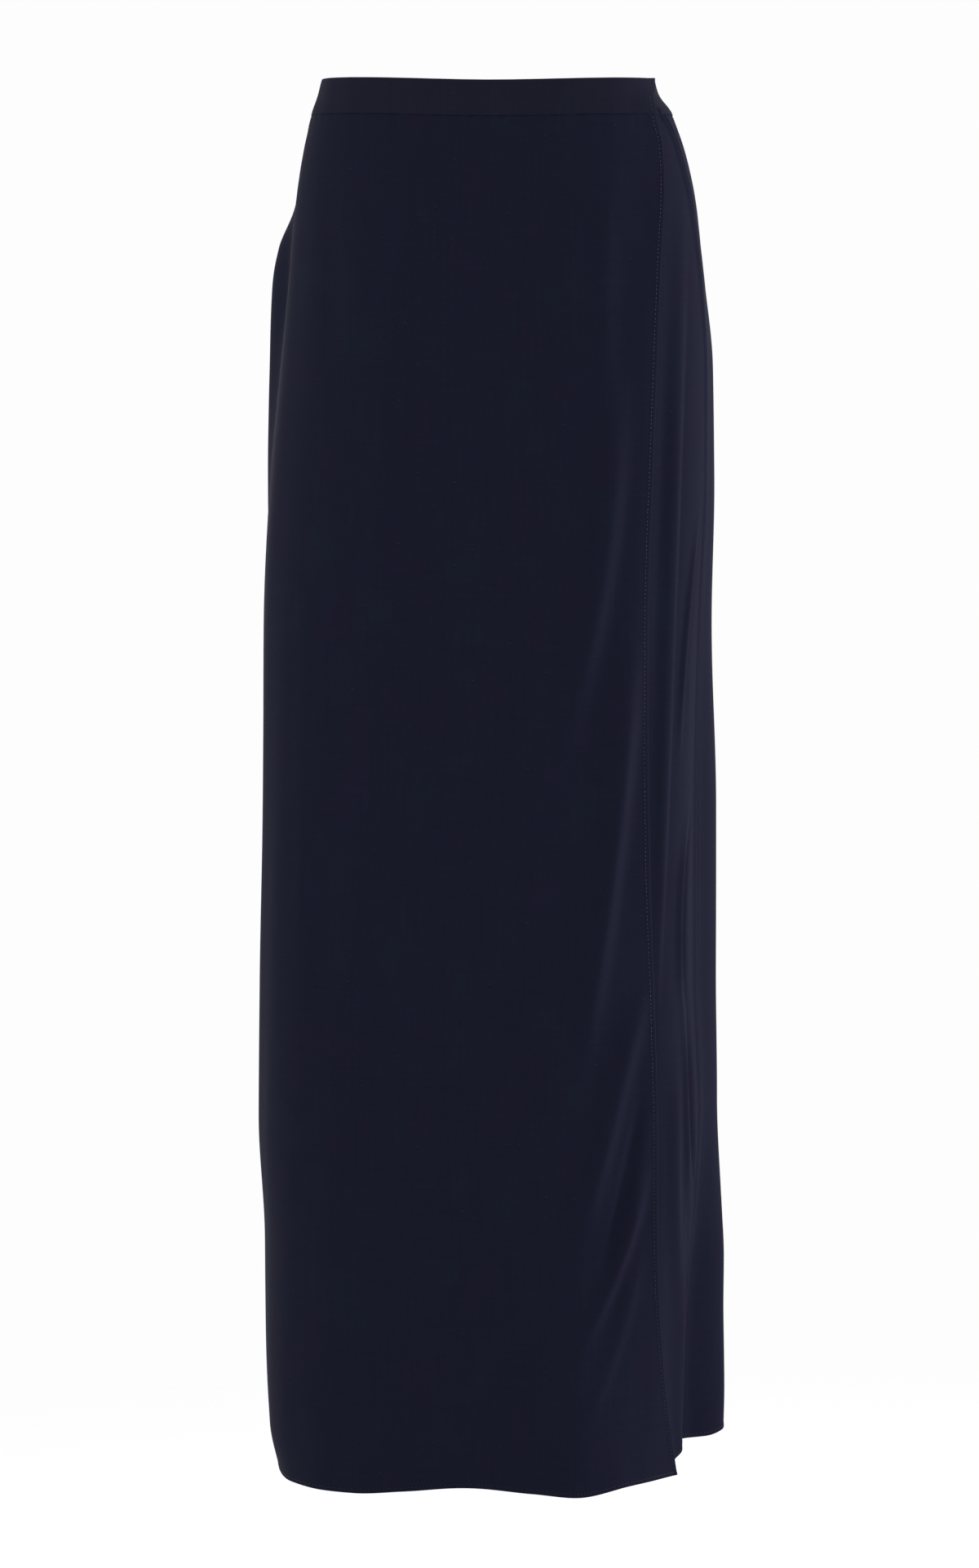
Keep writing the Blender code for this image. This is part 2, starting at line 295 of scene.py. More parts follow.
def seam(side, drop):
    return curve(SEAMS, side, drop)


def ease(t):
    """0 below 0, 1 above 1 and smooth between them."""
    t = np.clip(t, 0.0, 1.0)
    return t * t * (3 - 2 * t)


def turned(angle):
    """The same direction, between -180 and 180 degrees."""
    return (angle + 180.0) % 360.0 - 180.0


def radius(angle, drop):
    """Distance of the smooth cloth from the middle: a rounded rectangle, unlike on each side."""
    angle = turned(angle)
    on_right = angle > 0
    past_right = ease((angle - seam("right", drop)) / RIGHT_FLARE_SPREAD)
    past_left = ease((seam("left", drop) - angle) / LEFT_FLARE_SPREAD)
    wide = np.where(
        on_right,
        section("right", drop) + section("right_flare", drop) * past_right,
        section("left", drop) + section("left_flare", drop) * past_left,
    )
    deep = np.where(np.abs(angle) < 90.0, section("front", drop), section("back", drop))
    to_right = ease(angle / FRONT_BLEND + 0.5)
    front = corner("front_left", drop) * (1 - to_right) + corner("front_right", drop) * to_right
    to_back = ease((np.abs(angle) - 90.0) / SIDE_BLEND + 0.5)
    square = front * (1 - to_back) + corner("back", drop) * to_back
    sine = np.abs(np.sin(np.radians(angle)))
    cosine = np.abs(np.cos(np.radians(angle)))
    return ((sine / wide) ** square + (cosine / deep) ** square) ** (-1 / square)


def edge_angle(drop, edge=EDGE):
    """Where the overlap's free edge lies, or the band's end."""
    across = curve(edge, "across", drop)
    square = corner("front_right", drop)
    ratio = across / section("right", drop)
    ahead = section("front", drop) * (1 - ratio**square) ** (1 / square)
    return np.degrees(np.arctan2(across, ahead))


def under_depth(angle, drop):
    """How far the layer under the overlap lies in from the overlap's level, on the right side."""
    past_edge = (angle - edge_angle(drop) - UNDER_START) / UNDER_RISE
    return LAYER * (1 - ease(past_edge))


def height_of(angle, drop, hem):
    """Height of a point: the band's line at the top, a hem's line at the bottom."""
    forward = np.cos(np.radians(angle))
    top = BAND_TOP - np.where(forward > 0, WAIST_DIP, WAIST_RISE) * forward
    short = curve(hem, "height", angle) - (top - HEM_DROP)
    return top - drop + short * (drop / HEM_DROP) ** 2


def body_point(angle, drop):
    """Level place of the smooth cloth, without its height."""
    away = radius(angle, drop)
    turn = np.radians(angle)
    return np.stack([away * np.sin(turn), -away * np.cos(turn)], axis=-1)


def swing(drop, from_edge):
    """How far the cloth beside the free edge swings forward."""
    near = np.clip(1 - from_edge / curve(SWING, "reach", drop), 0.0, 1.0)
    return curve(SWING, "ahead", drop) * near**2


def cloth_point(angle, drop, out, hem, ahead=0.0):
    """Points on the cloth: the smooth form, moved out along its level normal and then forward."""
    nearby = 0.25
    along = body_point(angle + nearby, drop) - body_point(angle - nearby, drop)
    normal = np.stack([along[..., 1], -along[..., 0]], axis=-1)
    normal = normal / np.linalg.norm(normal, axis=-1, keepdims=True)
    flat = body_point(angle, drop) + normal * out[..., None]
    flat[..., 1] = flat[..., 1] - ahead
    return np.concatenate([flat, height_of(angle, drop, hem)[..., None]], axis=-1)


class Levels:
    """The smooth form at a list of drops. Each row of its arrays is one level round the body."""

    ROUND = np.arange(-430.0, 300.0, 0.4)  # degrees: the whole wrap, and more at both ends
    FRONT = np.abs(ROUND) < 88.0

    def __init__(self, drops):
        self.drop = np.asarray(drops, float).reshape(-1, 1)
        points = body_point(self.ROUND[None, :], self.drop)
        steps = np.linalg.norm(np.diff(points, axis=1), axis=-1)
        run = np.concatenate([np.zeros((len(steps), 1)), np.cumsum(steps, axis=1)], axis=1)
        middle = int(np.argmin(np.abs(self.ROUND)))
        self.run = run - run[:, middle : middle + 1]
        self.across = points[..., 0]

    def _each_row(self, wanted, known, found):
        wanted = np.broadcast_to(wanted, (len(self.drop), np.shape(wanted)[-1]))
        return np.array([np.interp(w, k, f) for w, k, f in zip(wanted, known, found)])

    def angle_at(self, run):
        return self._each_row(run, self.run, np.broadcast_to(self.ROUND, self.run.shape))

    def run_at(self, angle):
        return self._each_row(angle, np.broadcast_to(self.ROUND, self.run.shape), self.run)

    def run_across(self, across):
        """Run of the point on the front that lies this far to the right."""
        return self._each_row(across, self.across[:, self.FRONT], self.run[:, self.FRONT])


def soft_ridge(u):
    """A ridge that draws its cloth from a shallow dip on either side."""
    depth, width = FOLD_DIP
    return np.exp(-u * u) - depth * np.exp(-((u / width) ** 2))


def folds(table, place, levels, run):
    """How far the soft folds push the cloth out. Each follows a parabola through its three places."""
    out = np.zeros_like(run)
    for start, end, top, middle, bottom, width, lean, height in table[1:]:
        t = np.clip((levels.drop - start) / (end - start), 0.0, 1.0)
        path = top * (1 - t) * (1 - 2 * t) + middle * 4 * t * (1 - t) + bottom * t * (2 * t - 1)
        grown = height * ease(np.minimum(t, 1 - t) / FOLD_ENDS)
        beside = run - place(path)
        wide = width * np.where(beside < 0, lean, 1.0)
        out = out + grown * soft_ridge(beside / wide)
    return out


def drifts(levels, run):
    """How far the slow waves push the cloth out."""
    out = np.zeros_like(run)
    for across, down, phase, height in DRIFTS[1:]:
        out = out + height * np.sin(2 * np.pi * (run / across + levels.drop / down) + phase)
    return out * ease((levels.drop - BAND_HEIGHT) / DRIFTS_GROW)


# ---------------- what a user can change


def length_of(name, description, default):
    return FloatProperty(name=name, description=description, default=default, unit="LENGTH")


def share_of(name, description, default):
    limits = {"min": 0, "max": 1, "subtype": "FACTOR"}
    return FloatProperty(name=name, description=description, default=default, **limits)


def colour_of(name, description, default):
    kind = {"subtype": "COLOR", "size": 4, "min": 0, "max": 1}
    return FloatVectorProperty(name=name, description=description, default=(*default, 1.0), **kind)


class SkirtCut(PropertyGroup):
    """Sizes of the cloth and its sewing."""

    crepe_thickness: length_of("Crepe thickness", "One layer of the cloth", 0.0006)
    edge_turn: length_of("Turned edge", "Width of the overlap's turned and stitched free edge", 0.0050)
    hem_turn: length_of("Turned hem", "Width of the narrow stitched hem", 0.0036)
    seam_allowance: length_of("Seam allowance", "Width of the cloth pressed open at a seam", 0.0090)
    edge_stitch: length_of("Edge stitch", "Pitch of the free edge's topstitch", 0.0029)
    hem_stitch: length_of("Hem stitch", "Pitch of the hem's stitch", 0.0026)
    thread: length_of("Thread", "Width of the sewing thread", 0.00038)
    rows: IntProperty(name="Rows", description="Rows of faces down a panel", default=262, min=40)


class SkirtFinish(PropertyGroup):
    """Colours of the cloth, and how it takes the light."""

    crepe: colour_of("Crepe", "Colour of the panels", (0.0088, 0.0097, 0.0206))
    band: colour_of("Band", "Colour of the waistband", (0.0110, 0.0108, 0.0208))
    thread: colour_of("Thread", "Colour of the sewing thread", (0.0540, 0.0590, 0.1000))
    roughness: share_of("Roughness", "How matt the crepe is", 0.62)
    sheen: share_of("Sheen", "Light caught by the crepe's fibres", 0.015)
    yarn: length_of("Yarn", "Width of one yarn of the weave", 0.00045)


class SkirtStage(PropertyGroup):
    """The camera, the light and the floor."""

    eye: FloatVectorProperty(
        name="Eye",
        description="Place of the camera",
        subtype="TRANSLATION",
        default=(-0.0018, -3.4, -0.398),
    )
    tilt: FloatProperty(
        name="Tilt",
        description="How far the camera looks down",
        subtype="ANGLE",
        default=math.radians(1.786),
    )
    lens: FloatProperty(name="Lens", description="Focal length, in millimetres", default=106.19)
    floor: length_of("Floor", "Height of the floor", -1.28)
    room: FloatProperty(name="Room", description="Brightness of the white room", default=1.0)
    key: FloatProperty(name="Key light", description="Power of the main light, in watts", default=27.0)
    fill: FloatProperty(name="Fill light", description="Power of the fill light, in watts", default=7.0)


def cut():
    return bpy.context.scene.skirt_cut


def finish():
    return bpy.context.scene.skirt_finish


def stage():
    return bpy.context.scene.skirt_stage


# ---------------- materials

# Sizes are across and down the cloth
YARN_SHARES = (0.62, 1.38)  # of the colour, from the darkest yarn to the lightest
CLOUD_SIZE = (0.040, 0.060)
CLOUD_BLUE = (0.95, 1.07, 1.00)  # the share of each channel
CLOUD_VIOLET = (1.07, 0.95, 1.02)
BLUE_NOISE = (0.52, 0.66)  # the cloud noise between which the cloth turns blue
VIOLET_NOISE = (0.34, 0.48)  # and below which it turns violet
STREAK_SIZE = (0.0030, 0.0700)
BAR_SIZE = (0.0600, 0.0026)
SLUBS = ((0.013, 0.009), 0.80, 0.13)  # thick places in the yarn: spacing, share of gaps, size
SLUB_SHADOW = 0.0009  # how far below its slub the painted shadow lies
FLECKS = ((0.020, 0.017), 0.86, 0.035)
EDGE_WEAR_AND_SHEEN = (0.0002, 0.0014)  # distances from an edge between which the cloth is painted paler: wear and a painted sheen
THREAD_SHARES = (0.7, 1.35)  # from the painted shade on the thread's twist to its painted highlight
THREAD_SUNK_SHADE = (0.38, 0.60)  # the noise between which the thread is painted darker, as painted shade where it sinks into the cloth
THREAD_LOW_SHADE = (-0.80, -0.68)  # heights between which the thread turns darker towards the bottom, as painted shade
FLOOR_WHITE = (0.93, 0.93, 0.93, 1.0)
# A painted shadow on the floor under the skirt
FLOOR_PAINTED_SHADOW = (0.45, 0.45, 0.45, 1.0)
FLOOR_SHADOW_REACH = (0.15, 0.90)  # distances from the middle between which the painted shadow turns white
FLOOR_FADE = (1.55, 2.35)  # and between which it turns clear


class Link:
    """A node's output. Python's operators on it add Math nodes."""

    def __init__(self, shader, socket):
        self.shader = shader
        self.socket = socket

    def _math(self, operation, *values):
        inputs = dict(enumerate(values))
        return self.shader.node("ShaderNodeMath", {"operation": operation}, inputs)

    def __add__(self, other):
        return self._math("ADD", self, other)

    def __sub__(self, other):
        return self._math("SUBTRACT", self, other)

    def __rsub__(self, other):
        return self._math("SUBTRACT", other, self)

    def __mul__(self, other):
        return self._math("MULTIPLY", self, other)

    def __gt__(self, other):
        return self._math("GREATER_THAN", self, other)

    __radd__ = __add__
    __rmul__ = __mul__


class Shader:
    """A material being made, and the one way to add a node to it."""

    def __init__(self, name):
        self.material = bpy.data.materials.new(name)
        self.material.use_nodes = True
        self.tree = self.material.node_tree
        self.tree.nodes.clear()

    def node(self, kind, settings=None, inputs=None, output=0):
        made = self.tree.nodes.new(kind)
        for name, value in (settings or {}).items():
            setattr(made, name, value)
        for name, value in (inputs or {}).items():
            if isinstance(value, Link):
                self.tree.links.new(value.socket, made.inputs[name])
            else:
                made.inputs[name].default_value = value
        return Link(self, made.outputs[output]) if made.outputs else None

    def mix(self, factor, first, second):
        """Two colours mixed."""
        return self.node("ShaderNodeMix", {"data_type": "RGBA"}, {0: factor, 6: first, 7: second}, 2)

    def tones(self, factor, colour, shares):
        """From one share of a colour to another."""
        return self.mix(factor, shade(colour, shares[0]), shade(colour, shares[1]))

    def between(self, value, low, high):
        """0 below low, 1 above high and smooth between them."""
        inputs = {"Value": value, "From Min": low, "From Max": high}
        return self.node("ShaderNodeMapRange", {"interpolation_type": "SMOOTHSTEP"}, inputs)

    def noise(self, place, detail=2.0, roughness=0.5):
        inputs = {"Vector": place, "Scale": 1.0, "Detail": detail, "Roughness": roughness}
        return self.node("ShaderNodeTexNoise", None, inputs)

    def vector(self, operation, *values, output=0):
        inputs = dict(enumerate(values))
        return self.node("ShaderNodeVectorMath", {"operation": operation}, inputs, output)

    def scaled(self, place, across, down, deep=1.0):
        """A place in units of these sizes, one for each direction."""
        return self.vector("DIVIDE", place, (across, down, deep))

    def slubs(self, place, spacing, chance, size):
        """Small soft spots, strewn unevenly: the higher the chance, the fewer there are."""
        inputs = {"Vector": self.scaled(place, *spacing), "Scale": 1.0}
        away = self.node("ShaderNodeTexVoronoi", None, inputs)
        cell = self.node("ShaderNodeTexVoronoi", None, inputs, output=1)
        chosen = self.node("ShaderNodeSeparateColor", None, {"Color": cell}) > chance
        return (1 - self.between(away, 0.2 * size, size)) * chosen

    def attribute(self, name):
        return self.node("ShaderNodeAttribute", {"attribute_name": name}, output=2)

    def finish(self, **inputs):
        names = {name.replace("_", " "): value for name, value in inputs.items()}
        surface = self.node("ShaderNodeBsdfPrincipled", None, names)
        self.node("ShaderNodeOutputMaterial", None, {"Surface": surface})
        return self.material


def shade(colour, by):
    """The colour, darker or paler."""
    return tuple(part * by for part in colour[:3]) + (1.0,)


def tint(colour, by):
    """The colour, with a share for each channel."""
    return tuple(part * share for part, share in zip(colour[:3], by)) + (1.0,)


def crepe_material(name, colour, weave=1.0):
    """Fine crepe: uneven yarns, soft blue and violet clouds, small slubs with a painted highlight and a
    painted shadow, paler pressed edges (wear and painted sheen), and painted shade in seams and along
    stitches.
    """
    shader = Shader(name)
    yarn = finish().yarn
    place = shader.node("ShaderNodeUVMap", {"uv_map": "cloth"})
    lengthwise = shader.noise(shader.scaled(place, yarn, 9 * yarn), 2.0, 0.6)
    crosswise = shader.noise(shader.scaled(place, 8 * yarn, yarn), 2.0, 0.6)
    grain = shader.noise(shader.scaled(place, 2.2 * yarn, 2.2 * yarn), 3.0, 0.6)
    clouds = shader.noise(shader.scaled(place, *CLOUD_SIZE), 4.0, 0.6)
    streaks = shader.noise(shader.scaled(place, *STREAK_SIZE), 2.0, 0.5)
    bars = shader.noise(shader.scaled(place, *BAR_SIZE), 2.0, 0.5)
    slub = shader.slubs(place, *SLUBS)
    above = shader.vector("ADD", place, (0.0, SLUB_SHADOW, 0.0))
    tone = 0.3 * lengthwise + 0.3 * crosswise + 0.2 * streaks + 0.2 * bars
    base = shader.tones(tone, colour, YARN_SHARES)
    for patch, dye in (
        (shader.between(clouds, *BLUE_NOISE), CLOUD_BLUE),
        (1 - shader.between(clouds, *VIOLET_NOISE), CLOUD_VIOLET),
    ):
        base = shader.mix(patch, base, shader.tones(tone, tint(colour, dye), YARN_SHARES))
    # Marks on the cloth: where each lies, how strongly it shows, and the share of the colour it takes
    for mark, strength, by in (
        # A painted shadow just below each slub
        (shader.slubs(above, *SLUBS), 0.55, 0.55),
        # Each slub painted paler: a painted highlight on its lit top
        (slub, 0.60, 1.75),
        (shader.slubs(place, *FLECKS), 0.80, 3.2),
        # Pressed edges painted paler: wear, and a painted sheen
        (1 - shader.between(shader.attribute("edge"), *EDGE_WEAR_AND_SHEEN), 0.30, 2.0),
        # Painted shade in the seams' ditches and along the rows of stitches
        (shader.attribute("painted_shade"), 0.70, 0.35),
    ):
        base = shader.mix(mark * strength, base, shade(colour, by))
    height = (lengthwise + crosswise + grain * 0.8) * weave + slub * 3.0
    bump = {"Height": height, "Strength": 0.65, "Distance": 0.00010}
    normal = shader.node("ShaderNodeBump", None, bump)
    roughness = finish().roughness + 0.08 * (grain - 0.5)
    return shader.finish(
        Base_Color=base,
        Roughness=roughness,
        Normal=normal,
        Specular_IOR_Level=0.01,
        Sheen_Weight=finish().sheen,
        Sheen_Roughness=0.5,
        Sheen_Tint=(0.62, 0.60, 1.0, 1.0),
    )


def thread_material(name, colour):
    """Twisted sewing thread, glossier than the cloth, that lies deeper in it here and there, with
    painted shade there and towards the bottom.
    """
    shader = Shader(name)
    place = shader.node("ShaderNodeTexCoord", output=3)
    twist = shader.noise(shader.scaled(place, 0.0004, 0.0004, 0.0003), 2.0, 0.5)
    patches = shader.noise(shader.scaled(place, 0.006, 0.006, 0.006), 1.0, 0.5)
    sunk_shade = shader.between(patches, *THREAD_SUNK_SHADE)
    # Painted shade and highlight along the thread's twist
    base = shader.tones(twist, colour, THREAD_SHARES)
    height = shader.node("ShaderNodeSeparateXYZ", None, {"Vector": place}, output=2)
    lower = 1 - shader.between(height, *THREAD_LOW_SHADE)
    # Painted shade where the thread sinks into the cloth, and towards the bottom
    base = shader.mix(sunk_shade * 0.6, base, shade(colour, 0.35))
    base = shader.mix(lower * 0.75, base, shade(colour, 0.20))
    bump = {"Height": twist, "Strength": 0.5, "Distance": 0.00005}
    normal = shader.node("ShaderNodeBump", None, bump)
    return shader.finish(
        Base_Color=base,
        Roughness=0.45 + 0.1 * twist,
        Normal=normal,
        Specular_IOR_Level=0.35,
        Sheen_Weight=0.1,
        Sheen_Roughness=0.4,
    )


def floor_material():
    """A pale floor with a painted shadow under the skirt, that fades into the white room away from the
    middle.
    """
    shader = Shader("pale_floor")
    place = shader.node("ShaderNodeTexCoord", output=3)
    flat = shader.vector("MULTIPLY", place, (1.0, 1.0, 0.0))
    away = shader.vector("LENGTH", flat, output=1)
    # Painted shadow under the skirt, white further out
    colour = shader.mix(shader.between(away, *FLOOR_SHADOW_REACH), FLOOR_PAINTED_SHADOW, FLOOR_WHITE)
    surface = shader.node("ShaderNodeBsdfDiffuse", None, {"Color": colour})
    clear = shader.node("ShaderNodeBsdfTransparent")
    fade = shader.between(away, *FLOOR_FADE)
    faded = shader.node("ShaderNodeMixShader", None, {0: fade, 1: surface, 2: clear})
    shader.node("ShaderNodeOutputMaterial", None, {"Surface": faded})
    return shader.material


def material(name, make, *values):
    """The material of this name, made the first time it is asked for."""
    return bpy.data.materials.get(name) or make(name, *values)


def crepe():
    return material("navy_crepe", crepe_material, tuple(finish().crepe))


# ---------------- making the pieces

# Distances from an edge at which a piece has a column or a row of faces
TURNED = (
    0.0, 0.0002, 0.0006, 0.0014, 0.0024, 0.0034, 0.0038,
    0.0042, 0.0046, 0.0051, 0.0058, 0.0072, 0.0100,
)
HEMMED = (0.0, 0.0002, 0.0006, 0.0013, 0.0020, 0.0024, 0.0028, 0.0032, 0.0037, 0.0056, 0.0085)
SEAMED = (0.0, 0.0004, 0.0009, 0.0015, 0.0023, 0.0035, 0.0052, 0.0078)
BANDED = (0.0, 0.0002, 0.0006, 0.0012, 0.0022, 0.0036, 0.0056)
BELOW_BAND = (-0.0004, 0.0002, 0.0006, 0.0012, 0.0021, 0.0034, 0.0052, 0.0076)

# Turned edges and hems: heights or depths with their widths, or one size
TURN_PROUD = (0.00028, 0.0012)  # of the doubled cloth
GROOVE = (0.00022, 0.00045)  # along a row of stitches
STITCHED_IN = 0.0008  # from a turn's raw edge to its row of stitches
STITCHED_WIDTH = 0.0005  # of the painted shade along that row
# Strengths of the painted shade along the hem's and the free edge's rows of stitches
HEM_SHADE = 0.5
EDGE_SHADE = 0.3
LAYER_STEP = 0.0006  # the width over which a wall grows to two layers
LEAST_WALL = 0.00008  # between a piece's two faces, where its edge is rounded
BAND_ROUNDING = 0.0004  # of the band's bottom fold

# Seams
TUCK = 0.0040  # of a panel's top, up inside the band
BAND_DIP = 0.00012  # of the cloth just below the band
DIP_WIDTH = 0.0014  # of that dip, and of a side seam's ditch
PUCKER = 0.00016  # height of the puckers along the seams
BAND_PUCKER = (0.0135, 2.2, 0.021)  # pitch, how far it wanders, and over what length
SEAM_PUCKER = (0.0160, 1.7, 0.045)
PUCKER_FADE = (0.013, 0.009)  # the reach of the puckers, below the band and beside a side seam
BAND_WAVES = ((0.00012, 0.023, 1.9, 0.037), (0.00022, 0.021, 1.3, 0.031))  # height first
RIGHT_DITCH = (0.0020, 0.0016)  # depth of a side seam's ditch, and the width of the painted shade in it
LEFT_DITCH = (0.0010, 0.0010)
SEAM_RISE = 0.0008  # of the allowances into the ditch
SEAM_GAP = 0.0004  # from a panel's inner face to the allowances, away from the ditch
SEAM_ROLL = 0.00025  # of the cloth beside a seam
UNDERLAP_ROLL = 0.0016  # and of the underlap's, beside the right one
ROLL_PLACE = (0.004, 0.0024)  # how far from the seam the roll lies, and how wide it is

# Stitches
STITCH_SHARE = 0.62  # of the pitch that shows as thread
HEM_STITCH_SHARE = 0.70
HEM_THREAD_SHARE = 0.45  # the hem's thread is painted darker than the free edge's, as painted shade
BAND_END_STITCH = 0.0055  # from the band's end to its row of stitches
UNEVEN_STITCH = 0.00018
STITCH_RISE = 0.12  # of a stitch's middle above the cloth, in widths of thread


def strip(first, last, near_first, near_last, count, crowd=1.0):
    """Places from first to last: some fixed distances in from each end, and count more between."""
    low = first + np.array(near_first)
    high = last - np.array(near_last)[::-1]
    share = 1 - np.linspace(1.0, 0.0, count + 2)[1:-1] ** crowd
    return np.concatenate([low, low[..., -1:] * (1 - share) + high[..., :1] * share, high], axis=-1)


def panel_levels():
    """The levels of a panel's rows, from inside the band down to the hem."""
    top = BAND_HEIGHT - TUCK
    below = BAND_HEIGHT + np.array(BELOW_BAND)
    rest = strip(np.array([below[-1]]), np.array([HEM_DROP]), (0.0,), HEMMED, count=cut().rows)[1:]
    return Levels(np.concatenate([[top], below, rest]))


def pressed_turn(away, turn):
    """How far a turned and stitched edge stands out, by the distance from the edge."""
    proud, step = TURN_PROUD
    depth, width = GROOVE
    raised = proud * (1 - ease((away - turn + 0.5 * step) / step))
    return raised - depth * np.exp(-(((away - turn + STITCHED_IN) / width) ** 2))


def doubled(away, turn):
    """1 where the cloth is turned in, 0 where it is one layer."""
    return ease((turn + 0.5 * LAYER_STEP - away) / LAYER_STEP)


def rounded(away, thickness):
    """How far a wall's face turns in next to its edge, to make the edge round."""
    half = 0.5 * thickness
    u = 1 - np.clip(away / half, 0.0, 1.0)
    return 0.92 * half * (1 - np.sqrt(1 - u * u))


def wave(at, along, pitch, sway, length):
    """A wave whose crests wander along the cloth."""
    return np.sin(2 * np.pi * at / pitch + sway * np.sin(along / length))


def side_seam(levels, away, ditch, roll=SEAM_ROLL):
    """The ditch at a side seam, with a soft roll and a little puckering beside it."""
    dip = ditch[0] * np.exp(-((away / DIP_WIDTH) ** 2))
    place, width = ROLL_PLACE
    beside = roll * np.exp(-(((away - place) / width) ** 2))
    pucker = wave(levels.drop, levels.drop, *SEAM_PUCKER) * np.exp(-away / PUCKER_FADE[1])
    return beside - dip + PUCKER * pucker


def painted_ditch_shade(away, ditch):
    """How near the cloth lies to the bottom of a seam's ditch, and so how dark it is painted: painted
    shade.
    """
    return np.exp(-((away / ditch[1]) ** 2))


def band_dip(levels, run):
    """Just below the band the cloth dips into the seam and is a little puckered."""
    below = np.maximum(levels.drop - BAND_HEIGHT, 0.0)
    dip = -BAND_DIP * np.exp(-((below / DIP_WIDTH) ** 2))
    pucker = wave(run, run, *BAND_PUCKER) * np.exp(-below / PUCKER_FADE[0])
    return dip + PUCKER * pucker


def sewn_line(away, turn):
    """How near the cloth is to the row of stitches that holds a turned edge, where shade is painted."""
    return np.exp(-(((away - turn + STITCHED_IN) / STITCHED_WIDTH) ** 2))


def cloth_wall(name, outer, inner, run, drop, edge, finish_of, painted_shade=0.0):
    """A closed wall of cloth between two grids of points, with its own map in metres."""
    rows, columns = outer.shape[:2]
    work = bmesh.new()
    bmesh.ops.create_grid(work, x_segments=columns - 1, y_segments=rows - 1, size=0.5)
    face = list(work.verts)
    row = [round((0.5 - vert.co.y) * (rows - 1)) for vert in face]
    column = [round((vert.co.x + 0.5) * (columns - 1)) for vert in face]
    rim = [side for side in work.edges if side.is_boundary]
    copied = bmesh.ops.duplicate(work, geom=work.verts[:] + work.edges[:] + work.faces[:])
    back = [copied["vert_map"][vert] for vert in face]
    back_rim = [copied["edge_map"][side] for side in rim]
    for layer, points in ((face, outer), (back, inner)):
        for vert, point in zip(layer, points[row, column]):
            vert.co = point
    bmesh.ops.bridge_loops(work, edges=rim + back_rim)
    bmesh.ops.recalc_face_normals(work, faces=work.faces)
    if work.calc_volume(signed=True) < 0:
        bmesh.ops.reverse_faces(work, faces=work.faces)
    work.verts.index_update()
    places = np.array([vert.index for vert in face + back])
    mesh = bpy.data.meshes.new(name)
    work.to_mesh(mesh)
    work.free()
    values = np.zeros((4, len(places)), np.float32)
    for value, table in zip(values, (run, drop, edge, painted_shade)):
        value[places] = np.tile(np.broadcast_to(table, (rows, columns))[row, column], 2)
    mesh.attributes.new("edge", "FLOAT", "POINT").data.foreach_set("value", values[2])
    # The painted shade, which the crepe's colour reads
    mesh.attributes.new("painted_shade", "FLOAT", "POINT").data.foreach_set("value", values[3])
    corners = np.zeros(len(mesh.loops), np.int32)
    mesh.loops.foreach_get("vertex_index", corners)
    cloth_map = np.stack([values[0][corners], -values[1][corners]], axis=-1)
    mesh.uv_layers.new(name="cloth").data.foreach_set("uv", cloth_map.ravel())
    mesh.shade_smooth()
    mesh.materials.append(finish_of)
    return show(name, mesh)


def show(name, mesh):
    """A piece of this mesh, in the scene and on the body."""
    piece = bpy.data.objects.new(name, mesh)
    bpy.context.scene.collection.objects.link(piece)
    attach(piece, BODY)
    return piece


def surface_area(outer):
    """Area of a grid of points, in square metres."""
    across = np.diff(outer, axis=1)[:-1]
    down = np.diff(outer, axis=0)[:, :-1]
    return float(np.linalg.norm(np.cross(across, down), axis=-1).sum())


# The pieces' surfaces: where the face of the cloth lies, for a table of runs on some levels


def overlap_out(levels, run):
    return folds(OVERLAP_FOLDS, levels.run_across, levels, run) + drifts(levels, run) - BAND_PROUD


def overlap_face(levels, run, depth=0.0):
    angle = levels.angle_at(run)
    from_edge = levels.run_at(edge_angle(levels.drop)) - run
    from_seam = run - levels.run_at(seam("left", levels.drop))
    out = overlap_out(levels, run) + band_dip(levels, run)
    out = out + side_seam(levels, from_seam, LEFT_DITCH)
    out = out + pressed_turn(from_edge, cut().edge_turn)
    out = out + pressed_turn(HEM_DROP - levels.drop, cut().hem_turn)
    return cloth_point(angle, levels.drop, out - depth, OVERLAP_HEM, swing(levels.drop, from_edge))


def underlap_face(levels, run, depth=0.0):
    angle = levels.angle_at(run)
    edge = edge_angle(levels.drop)
    from_seam = levels.run_at(seam("right", levels.drop)) - run
    past = ease((angle - edge) / FOLD_CHANGE)
    own = folds(UNDERLAP_FOLDS, levels.run_across, levels, run) + drifts(levels, run) - BAND_PROUD
    out = overlap_out(levels, run) * (1 - past) + own * past + band_dip(levels, run) * past
    out = out - under_depth(angle, levels.drop)
    out = out + side_seam(levels, from_seam, RIGHT_DITCH, UNDERLAP_ROLL)
    out = out + pressed_turn(HEM_DROP - levels.drop, cut().hem_turn)
    return cloth_point(angle, levels.drop, out - depth, UNDERLAP_HEM)


def back_face(levels, run, depth=0.0):
    angle = levels.angle_at(run)
    from_right = run - levels.run_at(seam("right", levels.drop))
    from_left = levels.run_at(seam("left", levels.drop) + 360.0) - run
    out = folds(BACK_FOLDS, levels.run_at, levels, run) + drifts(levels, run) - BAND_PROUD
    out = out + band_dip(levels, run) - under_depth(angle, levels.drop)
    out = out + side_seam(levels, from_right, RIGHT_DITCH)
    out = out + side_seam(levels, from_left, LEFT_DITCH)
    out = out + pressed_turn(HEM_DROP - levels.drop, cut().hem_turn)
    return cloth_point(angle, levels.drop, out - depth, BACK_HEM)


def band_face(levels, run, depth=0.0):
    angle = levels.angle_at(run)
    under = np.where(angle < -180.0, under_depth(angle + 360.0, levels.drop), 0.0)
    (height, *along), (fall, *down) = BAND_WAVES
    uneven = height * wave(run, run, *along) + fall * wave(levels.drop, run, *down)
    from_end = levels.run_at(edge_angle(levels.drop, BAND_EDGE)) - run
    ahead = swing(levels.drop, from_end)
    return cloth_point(angle, levels.drop, uneven - under - depth, OVERLAP_HEM, ahead)


